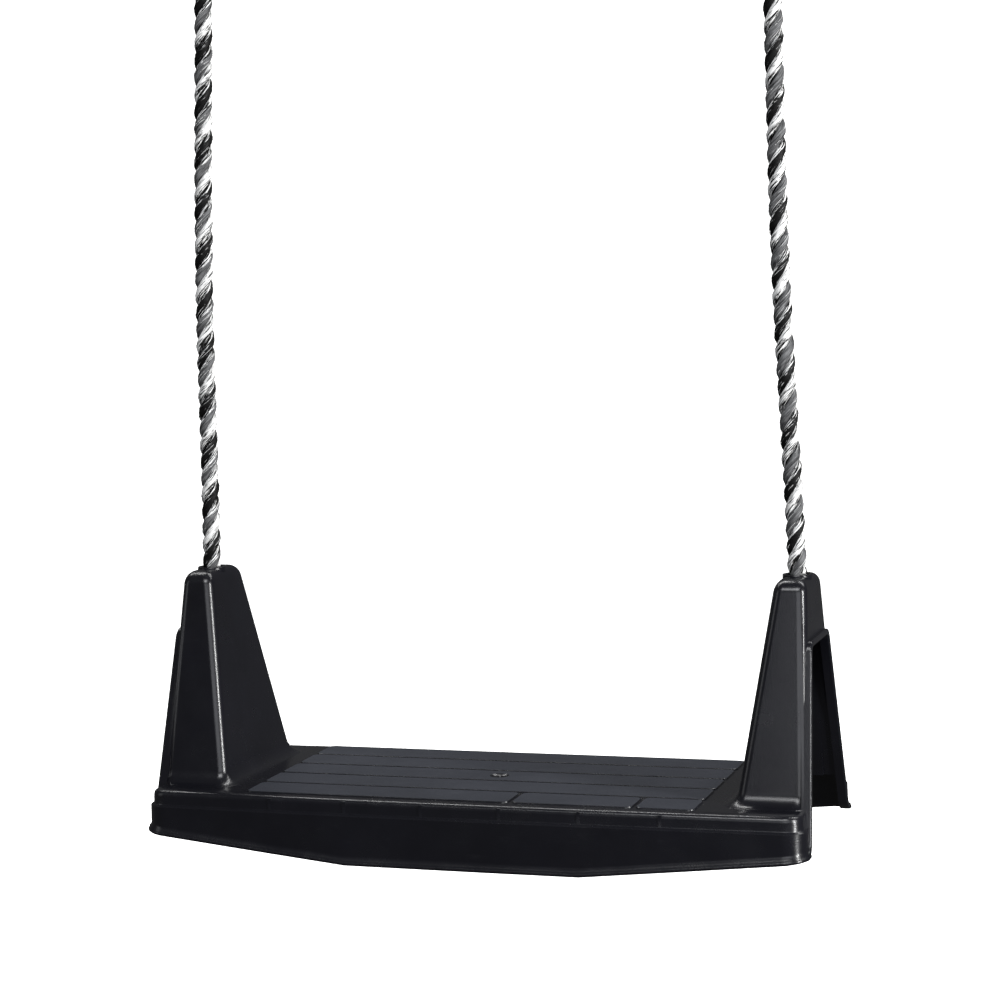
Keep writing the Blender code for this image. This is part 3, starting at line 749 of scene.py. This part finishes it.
def rope_mesh(name, bm):
    mesh = bpy.data.meshes.new(name)
    bm.to_mesh(mesh)
    bm.free()
    for colour in ROPE_COLOURS:
        mesh.materials.append(MATERIALS[colour])
    obj = bpy.data.objects.new(name, mesh)
    bpy.context.scene.collection.objects.link(obj)
    return obj


def build_rope(side_name, side):
    to_row = rope_frame(side)
    line, travelled = resampled([to_row @ point for point in whole_route()], 0.0018)
    draw = random.Random(20 + side)
    bm = bmesh.new()
    uv = bm.loops.layers.uv.new("along")
    order = LAY_ORDER[side_name]
    offset = np.full(len(line), STRAND_OFFSET)
    for number, colour in enumerate(order):
        turn = 2 * pi * (travelled / LAY + number / 3) + START_TURN[side_name]
        strand = Strand(line, turn, offset, offset)
        yarns = strand_yarns(colour, number == len(order) - 1)
        skin_strand(bm, uv, strand, travelled, [STRAND_RADIUS] * len(line), yarns, number + 4.0 + side)
        for _ in range(FIBRES // 3):
            add_fibre(bm, uv, strand, travelled, STRAND_RADIUS, yarns, draw)
    rope = rope_mesh(f"{side_name}_rope_strands", bm)
    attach(rope, f"{side_name}_rope")
    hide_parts(f"{side_name}_rope", f"{side_name}_rope_eye")
    pieces = [build_thimble(side_name, side), build_ferrule(side_name, side)]


START_TURN = {"left": 0.6, "right": 2.1}


# Knots, eyes and hangers


def place_piece(obj, node):
    """The piece stands for this CAD node, on the node's own body."""
    record = frame["record"]
    body = next(name for name, nodes in record["behaviour"]["bodies"].items() if node in nodes)
    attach(obj, body)
    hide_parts(node)
    return obj


def machined(name, bm, material, origin, matrix=None, angle=32.0):
    if matrix is not None:
        bm.transform(matrix)
    return finish_mesh(name, bm, [MATERIALS[material]], origin, angle, weighted=False)


def eased(obj, width, steps=2):
    """Small rounded edges."""
    modifier = obj.modifiers.new("eased", "BEVEL")
    modifier.width = width
    modifier.segments = steps
    modifier.limit_method = "ANGLE"
    modifier.angle_limit = radians(38)
    modifier.use_clamp_overlap = True
    bpy.context.view_layer.update()
    apply_modifiers(obj)
    smooth(obj, 38)
    return obj


def turned_ring(profile, steps, place):
    """A closed ring: (radius, level) points turned round the axis that place puts last."""
    bm = bmesh.new()
    loops = []
    for a, b in circle((0, 0), 1.0, steps):
        loops.append([bm.verts.new(place(a * r, b * r, level)) for r, level in profile])
    for near, far in zip(loops, loops[1:] + loops[:1]):
        for j in range(len(near)):
            k = (j + 1) % len(near)
            bm.faces.new((near[j], near[k], far[k], far[j]))
    return bm


def along_y(a, b, level):
    return (a, level, b)


def axle(stations, steps=40):
    """A solid turned about X, from (x, radius) stations."""
    return loft([[(x, r * a, r * b) for a, b in circle((0, 0), 1.0, steps)] for x, r in stations])


def build_thimble(side_name, side):
    """A half pipe bent round the eye, with rolled edges."""
    lip = (THIMBLE_OUTER - THIMBLE_GROOVE) / 2
    middle = THIMBLE_OUTER - lip
    ends = [(middle * cos(radians(75)), sign * middle * sin(radians(75))) for sign in (1, -1)]
    profile = arc((0, 0), THIMBLE_OUTER, -75, 75, 20) + arc(ends[0], lip, 75, 255, 6)[1:-1]
    profile += arc((0, 0), THIMBLE_GROOVE, 75, -75, 16) + arc(ends[1], lip, 105, 285, 6)[1:-1]
    bm = turned_ring([(EYE_RADIUS - a, b) for a, b in profile], 96, along_y)
    matrix = rope_frame(side) @ Matrix.Translation((0, 0, EYE_CENTRE))
    node = f"{side_name}_thimble"
    return place_piece(machined(f"{node}_pressed", bm, "zinc", (0, 0, 0), matrix), node)


def build_ferrule(side_name, side):
    """A sleeve pressed on the two legs, with a flash line down each side and three press marks."""
    wide, deep = FERRULE_HALF
    rings = []
    for i in range(45):
        share = i / 44
        end = min(share, 1 - share) * FERRULE_HEIGHT
        shrink = 0.0018 * max(1 - end / 0.0030, 0) ** 2
        mark = 0.00045 * max(cos(2 * pi * 3.5 * (share - 0.5)), 0) ** 3
        half = deep - shrink - mark
        ring = []
        for x, y in rounded_rectangle(-wide + shrink, wide - shrink, half, half * 0.98, 10):
            flash = 0.0004 if abs(y) < 0.0009 and abs(x) > wide * 0.8 else 0.0
            ring.append((x + (flash if x > 0 else -flash), y, FERRULE_BOTTOM + FERRULE_HEIGHT * share))
        rings.append(ring)
    node = f"{side_name}_ferrule"
    obj = machined(f"{node}_sleeve", loft(rings), "alloy", (0, 0, 0), rope_frame(side))
    return place_piece(obj, node)


# The knot's outline: (z, half x, half y, shift towards the seat's middle)
KNOT = [(-0.0022, 0.0056, 0.0056, 0.0), (-0.0100, 0.0057, 0.0057, 0.0), (-0.0125, 0.0060, 0.0080, 0.0006),
        (-0.0165, 0.0068, 0.0118, 0.0012), (-0.0220, 0.0078, 0.0148, 0.0017), (-0.0280, 0.0082, 0.0153, 0.0018),
        (-0.0340, 0.0080, 0.0138, 0.0018), (-0.0390, 0.0069, 0.0098, 0.0018), (-0.0415, 0.0057, 0.0059, 0.0018),
        (-0.0465, 0.0056, 0.0056, 0.0018)]
KNOT_TURNS = [0.0, 0.22, 0.30, 0.50, 0.82, 1.20, 1.55, 1.80, 1.88, 2.02]


def build_knot(side_name, side):
    """The stopper knot: the three strands wind out round the core, lie side by side and gather into the tail."""
    levels = [-z for z, _, _, _ in KNOT]
    depth = np.linspace(levels[0], levels[-1], 120)
    half_x, half_y, shift = (np.interp(depth, levels, [row[i] for row in KNOT]) for i in (1, 2, 3))
    turns = np.interp(depth, levels, KNOT_TURNS)
    line = np.stack([side * (HOLE_X - shift), np.zeros(len(depth)), TOWER_TOP_Z - depth], axis=1)
    radii = np.minimum(0.0029, half_x - 0.0026)
    seed = 9.0 + side
    draw = random.Random(40 + side)
    bm = bmesh.new()
    uv = bm.loops.layers.uv.new("along")
    core = [[(x + 0.62 * a * cos(t), 0.72 * b * sin(t), z) for t in np.linspace(0, 2 * pi, 33)[:-1]]
            for (x, _, z), a, b in zip(line[6:-6:4], half_x[6:-6:4], half_y[6:-6:4])]
    core_bm = loft(core)
    core_mesh = bpy.data.meshes.new("core")
    core_bm.to_mesh(core_mesh)
    core_bm.free()
    bm.from_mesh(core_mesh)
    for face in bm.faces:
        face.material_index = ROPE_COLOURS.index("grey")
    bpy.data.meshes.remove(core_mesh)
    order = LAY_ORDER[side_name]
    for number, colour in enumerate(order):
        strand = Strand(line, -2 * pi * (turns + number / 3), half_x - radii, half_y - radii)
        yarns = strand_yarns(colour, number == len(order) - 1)
        skin_strand(bm, uv, strand, depth, radii * 0.97, yarns, seed + number)
        for _ in range(50):
            add_fibre(bm, uv, strand, depth, 0.0028, yarns, draw)
    node = f"{side_name}_knot"
    return place_piece(rope_mesh(f"{node}_strands", bm), node)


PLATE_HALF = (0.055, 0.020)
PLATE_THICKNESS = 0.005
SCREW_HOLE_X = 0.040
SCREW_HOLE_RADIUS = 0.0045
CHEEK_X = (0.0066, 0.0106)
CHEEK_RADIUS = 0.0135
BOLT_RADIUS = 0.005
BOLT_HOLE_RADIUS = 0.0053
BUSHING_RADIUS = 0.0080
BUSHING_FLANGE = (0.0120, 0.0048, 0.0063)
HOOK_HALF_THICKNESS = 0.0045
HOOK_EYE_RADIUS = 0.0165
HOOK_EYE_HOLE = 0.0083
BOWL_Z = -0.060
BOWL_RADIUS = 0.0165
GATE_PIVOT = (GATE_Y, GATE_Z - PIVOT_Z)
GATE_PIN_RADIUS = 0.0018
GATE_SPAN = (0.0135, 0.0208)
GATE_END_Z = -0.0547
GATE_TOP = 0.0052
GATE_SLOT_Z = -0.0115
GATE_SHEET = 0.0015
GATE_CHEEK_X = (0.0023, 0.0038)
LUG_HALF_THICKNESS = 0.0020
LUG_RADIUS = 0.0050
GATE_PIN_HALF = 0.0046
HEX_ACROSS = 0.016
BOLT_HEAD = 0.0064
BOLT_END_X = 0.0222
NUT_X = (0.0109, 0.0189)
THREAD_PITCH = 0.0015
THREAD_DEPTH = 0.0005


def hook_bar():
    """The round bar from its rounded nose, round the bowl and up the back to the eye."""
    centre = (0, BOWL_Z)
    line = arc(centre, BOWL_RADIUS, 13, -180, 40)
    line += [(-BOWL_RADIUS, BOWL_Z + 0.012), (-BOWL_RADIUS, BOWL_Z + 0.024)]
    line += [(-0.0155, -0.0290), (-0.0120, -0.0215), (-0.0080, -0.0150), (-0.0060, -0.0110)]
    points, travelled = resampled([Vector((0, y, z)) for y, z in line], 0.0012)
    thick = HOOK_HALF_THICKNESS
    ahead = np.gradient(points, axis=0)
    ahead /= np.linalg.norm(ahead, axis=1)[:, None]
    across = np.cross([1.0, 0.0, 0.0], ahead)
    rings = []
    for point, direction, travel in zip(points, across, travelled):
        close = max(1 - travel / 0.0026, 0)
        radius = thick * (1 - 0.55 * close**2)
        rings.append([tuple(point + radius * (cos(t) * direction + sin(t) * np.array([1.0, 0, 0])))
                      for t in np.linspace(0, 2 * pi, 25)[:-1]])
    return loft(rings)


def build_hook(side_name, centre):
    thick = HOOK_HALF_THICKNESS
    node = f"{side_name}_hook"
    hook = machined(f"{node}_forged", hook_bar(), "zinc", centre)
    ease = 0.0016
    section = arc((HOOK_EYE_RADIUS - ease, thick - ease), ease, 0, 90, 5)
    section += arc((HOOK_EYE_HOLE + ease * 0.6, thick - ease * 0.6), ease * 0.6, 90, 180, 4)
    section += [(r, -x) for r, x in reversed(section)]
    y, z = GATE_PIVOT
    lug = arc((y, z), LUG_RADIUS, -143, 53, 24) + [(0.0115, 0.0075), (0.0090, -0.0080)]
    lug_bm = prism(lug, -LUG_HALF_THICKNESS, LUG_HALF_THICKNESS, along_x)
    pin_hole = prism(circle(GATE_PIVOT, GATE_PIN_RADIUS + GAP, 24), -0.02, 0.02, along_x)
    bore = prism(circle((0, 0), HOOK_EYE_HOLE, 64), -0.02, 0.02, along_x)
    steps = [("UNION", turned_ring(section, 80, lambda a, b, level: (level, a, b))), ("UNION", lug_bm),
             ("DIFFERENCE", bore), ("DIFFERENCE", pin_hole)]
    combine(hook, [(kind, machined("tool", bm, "zinc", centre)) for kind, bm in steps])
    smooth(hook, 40, weighted=False)
    place_piece(hook, node)


def build_gate(side_name, centre):
    """The pressed gate, a folded channel with its hinge ears."""
    y, z = GATE_PIVOT
    low, high = GATE_SPAN[0] - y, GATE_SPAN[1] - y
    bottom = GATE_END_Z - z
    corner = 0.0022
    outline = [(low, bottom), (high, bottom)] + arc((high - corner, GATE_TOP - corner), corner, 0, 90, 8)
    outline += arc((low + corner, GATE_TOP - corner), corner, 90, 180, 8)
    space, outer = GATE_CHEEK_X
    origin = (centre[0], centre[1] + y, centre[2] + z)
    node = f"{side_name}_gate"
    gate = machined(f"{node}_pressed", prism(outline, -outer, outer, along_x), "steel", origin)
    clear = 0.01
    slot = [(low - clear, GATE_SLOT_Z), (high + clear, GATE_SLOT_Z), (high + clear, clear), (low - clear, clear)]
    back = high - GATE_SHEET
    channel = [(low - clear, bottom - clear), (back, bottom - clear), (back, 0.0), (low - clear, 0.0)]
    cuts = [prism(slot, -space, space, along_x), prism(channel, -space, space, along_x)]
    cuts.append(prism(circle((0, 0), GATE_PIN_RADIUS + GAP, 24), -0.02, 0.02, along_x))
    combine(gate, [("DIFFERENCE", machined("tool", bm, "steel", origin)) for bm in cuts])
    place_piece(eased(gate, 0.0004), node)


def chamfered_hexagon(name, low, high, ends, centre):
    """A hexagon whose corners are turned off at the given ends."""
    prism_bm = prism(circle((0, 0), HEX_ACROSS / 2 / cos(pi / 6), 6), low, high, along_x)
    tall, flat, drop = HEX_ACROSS / 2 * 1.17, HEX_ACROSS / 2 * 0.97, 0.0013
    stations = [(low, flat if low in ends else tall), (low + drop, tall)]
    stations += [(high - drop, tall), (high, flat if high in ends else tall)]
    body = machined(name, prism_bm, "steel", centre)
    combine(body, [("INTERSECT", machined("tool", axle(stations, 72), "steel", centre))])
    return body


def threaded_shank():
    """A plain shank that ends in a helical thread with a pointed start."""
    start, end = -CHEEK_X[1] - 0.003, BOLT_END_X
    thread_from = NUT_X[1] - 0.002
    stations = [start, thread_from] + list(np.linspace(thread_from, end, 34)[1:])
    steps = 48
    rings = []
    for x in stations:
        ring = []
        for i in range(steps):
            turn = (x / THREAD_PITCH - i / steps) % 1
            cut = THREAD_DEPTH * (1 - abs(2 * turn - 1)) if x > thread_from else 0.0
            taper = 0.0009 * max(1 - (end - x) / 0.0010, 0)
            r = BOLT_RADIUS - max(cut, taper)
            ring.append((x, r * cos(2 * pi * i / steps), r * sin(2 * pi * i / steps)))
        rings.append(ring)
    return loft(rings)


def build_bolt(side_name, centre):
    under_head = -CHEEK_X[1] - GAP
    node = f"{side_name}_pivot_bolt"
    bolt = chamfered_hexagon(f"{node}_turned", under_head - BOLT_HEAD, under_head, [under_head - BOLT_HEAD], centre)
    combine(bolt, [("UNION", machined("tool", threaded_shank(), "steel", centre))])
    smooth(bolt, 28, weighted=False)
    place_piece(bolt, node)
    node = f"{side_name}_pivot_nut"
    shoulder = NUT_X[1] - 0.0026
    nut = chamfered_hexagon(f"{node}_turned", NUT_X[0], shoulder, (NUT_X[0], shoulder), centre)
    collar = [(shoulder - 0.001, 0.0072), (NUT_X[1] - 0.0008, 0.0072), (NUT_X[1] - 0.0002, 0.0069), (NUT_X[1], 0.0064)]
    bore = axle([(0.0, BOLT_HOLE_RADIUS), (0.03, BOLT_HOLE_RADIUS)], 48)
    combine(nut, [("UNION", machined("tool", axle(collar, 72), "steel", centre)),
                  ("DIFFERENCE", machined("tool", bore, "steel", centre))])
    smooth(nut, 28, weighted=False)
    place_piece(nut, node)


def build_bushings(side_name, side, centre):
    flange, inner, outer = BUSHING_FLANGE
    ease = 0.0004
    for half_name, half in (("inner", -side), ("outer", side)):
        section = [(BUSHING_RADIUS, GAP / 2), (BUSHING_RADIUS, inner - ease), (BUSHING_RADIUS + ease, inner)]
        section += arc((flange - ease, inner + ease), ease, -90, 0, 4)
        section += arc((flange - ease, outer - ease), ease, 0, 90, 4)
        section += [(BOLT_HOLE_RADIUS + ease, outer), (BOLT_HOLE_RADIUS, outer - ease), (BOLT_HOLE_RADIUS, GAP / 2)]
        bm = turned_ring(section, 64, lambda a, b, level: (half * level, a, b))
        node = f"{side_name}_bushing_{half_name}"
        place_piece(machined(f"{node}_moulded", bm, "nylon", centre), node)


def build_gate_pin(side_name, centre):
    """The riveted pin, with a low domed head on each side."""
    half, r = GATE_PIN_HALF, GATE_PIN_RADIUS
    head = [(half, r * 0.55), (half - 0.0002, r * 1.0), (half - 0.0005, r * 1.25), (GATE_CHEEK_X[1] + 0.0001, r * 1.25)]
    stations = [(-x, a) for x, a in head] + [(-GATE_CHEEK_X[1] - 0.00005, r), (GATE_CHEEK_X[1] + 0.00005, r)]
    stations += list(reversed(head))
    node = f"{side_name}_gate_pin"
    y, z = GATE_PIVOT
    origin = (centre[0], centre[1] + y, centre[2] + z)
    place_piece(machined(f"{node}_riveted", axle(stations, 32), "steel", origin), node)


def build_bracket(side_name, side):
    """The screwed plate with its two cheeks, eased along every edge, with countersunk screw holes."""
    origin = (side * HANGER_X, 0, 0)
    half_x, half_y = PLATE_HALF
    node = f"{side_name}_bracket"
    plate = prism(rounded_rectangle(-half_x, half_x, half_y, 0.008, 10), -PLATE_THICKNESS, 0, along_z)
    bracket = machined(f"{node}_welded", plate, "zinc", origin)
    root = half_y - 0.001
    cheek = [(root, -PLATE_THICKNESS * 0.6)] + arc((0, PIVOT_Z), CHEEK_RADIUS, 12, -192, 40)
    cheek += [(-root, -PLATE_THICKNESS * 0.6)]
    steps = []
    for way in (-1, 1):
        low, high = sorted(way * x for x in CHEEK_X)
        steps.append(("UNION", prism(cheek, low, high, along_x)))
        sink = [(SCREW_HOLE_RADIUS + 0.0030, -PLATE_THICKNESS - 0.0005), (SCREW_HOLE_RADIUS, -PLATE_THICKNESS + 0.0025),
                (SCREW_HOLE_RADIUS, 0.002)]
        steps.append(("DIFFERENCE", turned_z(sink, 40, (way * SCREW_HOLE_X, 0))))
    steps.append(("DIFFERENCE", prism(circle((0, PIVOT_Z), BOLT_HOLE_RADIUS, 40), -0.02, 0.02, along_x)))
    combine(bracket, [(kind, machined("tool", bm, "zinc", origin)) for kind, bm in steps])
    place_piece(eased(bracket, 0.0005), node)


def build_hanger(side_name, side):
    centre = (side * HANGER_X, 0, PIVOT_Z)
    build_bracket(side_name, side)
    build_bolt(side_name, centre)
    build_bushings(side_name, side, centre)
    build_hook(side_name, centre)
    build_gate(side_name, centre)
    build_gate_pin(side_name, centre)


# Stage, light and camera


def build_stage():
    """A pale floor that curves up into a round wall. It stays out of the object's reflections."""
    floor_z = DECK_Z - 0.42
    radius, bend, height, sides = 5.0, 0.9, 5.0, 96
    profile = [(0.02, floor_z), (radius - bend, floor_z)]
    profile += [(radius - bend + bend * sin(a), floor_z + bend * (1 - cos(a))) for a in np.linspace(0.1, pi / 2, 14)]
    profile += [(radius, floor_z + height)]
    bm = bmesh.new()
    loops = [[bm.verts.new((r * a, r * b, z)) for a, b in circle((0, 0), 1.0, sides)] for r, z in profile]
    for low, high in zip(loops, loops[1:]):
        for i in range(sides):
            j = (i + 1) % sides
            bm.faces.new((low[i], low[j], high[j], high[i]))
    bm.faces.new(loops[0])
    mesh = bpy.data.meshes.new("backdrop")
    bm.to_mesh(mesh)
    bm.free()
    mesh.shade_smooth()
    nodes = Nodes("pale_backdrop")
    cloud = noise_at(nodes, 1.5)
    nodes.link(nodes.ramp(cloud, [(0.3, grey(0.88)), (0.7, grey(0.92))]), nodes.shader.inputs["Base Color"])
    nodes.set(Roughness=0.9, Emission_Color=(1.0, 1.0, 1.0, 1.0), Emission_Strength=0.62)
    mesh.materials.append(nodes.material)
    backdrop = bpy.data.objects.new("backdrop", mesh)
    bpy.context.scene.collection.objects.link(backdrop)
    backdrop.visible_glossy = False
    backdrop.visible_diffuse = False


def area_light(name, place, target, size, power, colour=(1, 1, 1)):
    light = bpy.data.lights.new(name, "AREA")
    light.shape = "RECTANGLE"
    light.size, light.size_y = size
    light.energy = power
    light.color = colour
    obj = bpy.data.objects.new(name, light)
    bpy.context.scene.collection.objects.link(obj)
    obj.location = place
    obj.rotation_euler = (Vector(target) - Vector(place)).to_track_quat("-Z", "Y").to_euler()


def build_light():
    """A softbox to the right for the edges, one above the front for the deck, and a wash on the backdrop."""
    world = bpy.data.worlds.new("studio")
    world.use_nodes = True
    world.node_tree.nodes["Background"].inputs["Color"].default_value = (1.0, 1.0, 1.0, 1.0)
    world.node_tree.nodes["Background"].inputs["Strength"].default_value = 0.08
    bpy.context.scene.world = world
    bpy.context.scene.view_settings.view_transform = "Standard"
    middle = (0, 0, DECK_Z + 0.05)
    area_light("side_strip", (2.1, -0.7, DECK_Z + 0.5), middle, (0.10, 1.6), 72)
    area_light("front_right_soft", (0.7, -2.1, DECK_Z + 0.75), middle, (1.8, 1.0), 14, (0.93, 0.95, 1.0))
    area_light("front_top", (0.3, -1.6, DECK_Z + 2.3), middle, (1.6, 0.8), 42, (0.97, 0.98, 1.0))
    area_light("left_fill", (-2.2, -1.4, DECK_Z + 0.9), middle, (0.8, 1.6), 5, (0.95, 0.97, 1.0))
    area_light("backdrop_wash", (0, 1.3, DECK_Z + 2.3), (0, 3.3, DECK_Z + 0.3), (4.0, 1.0), 190)


def build_camera():
    """Three-quarter view from the right, a little above the seat, through a long lens."""
    yaw, pitch, roll = radians(17.9), radians(-5.68), radians(-1.6)
    forward = Vector((-sin(yaw) * cos(pitch), cos(yaw) * cos(pitch), sin(pitch)))
    right = Vector((cos(yaw), sin(yaw), 0))
    up = right.cross(forward)
    turned_right = right * cos(roll) + up * sin(roll)
    turned_up = up * cos(roll) - right * sin(roll)
    data = bpy.data.cameras.new("camera")
    data.sensor_width = 36.0
    data.lens = 90.4
    camera = bpy.data.objects.new("camera", data)
    bpy.context.scene.collection.objects.link(camera)
    axes = Matrix((turned_right, turned_up, -forward)).transposed()
    camera.matrix_world = Matrix.Translation((0.5035, -1.5415, DECK_Z + 0.3428)) @ axes.to_4x4()
    bpy.context.scene.camera = camera


build_camera()
for side_name, side in SIDES.items():
    build_rope(side_name, side)
    build_knot(side_name, side)
    build_hanger(side_name, side)
build_seat()
build_stage()
build_light()
